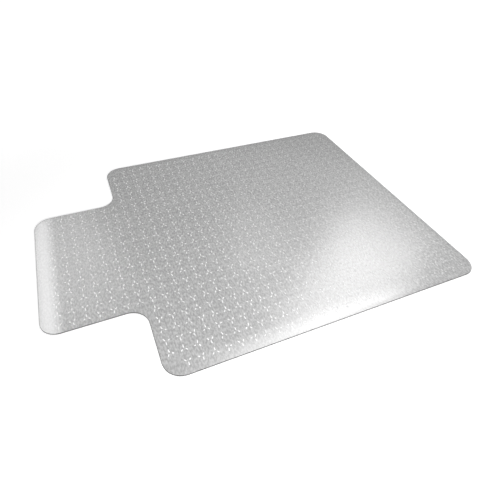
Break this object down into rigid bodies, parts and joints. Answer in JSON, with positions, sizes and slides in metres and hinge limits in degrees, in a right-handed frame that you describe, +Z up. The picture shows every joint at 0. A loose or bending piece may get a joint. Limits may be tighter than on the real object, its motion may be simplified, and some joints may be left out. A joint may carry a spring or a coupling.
{
  "type": "chair mat",
  "caption": "Clear lipped chair mat for carpet: one thin sheet with a narrower front lip, and oval grip studs underneath in groups.",
  "frame": {"origin": "middle of the mat's box in plan, on the floor, at the level of the studs' feet", "axes": "+X from the lip's end to the back edge, +Y across the mat, +Z up"},
  "size_m": [1.2192, 0.9144, 0.004],
  "materials": {
    "sheet_plastic": "frosted clear moulded sheet with a fine pebbled grain on top",
    "stud_plastic": "smooth clear moulded plastic, the same as the sheet"
  },
  "bodies": {
    "root": {"mat_sheet": "sheet_plastic", "corner_grip_studs": "stud_plastic", "body_grip_studs": "stud_plastic", "lip_grip_studs": "stud_plastic"}
  },
  "joints": []
}
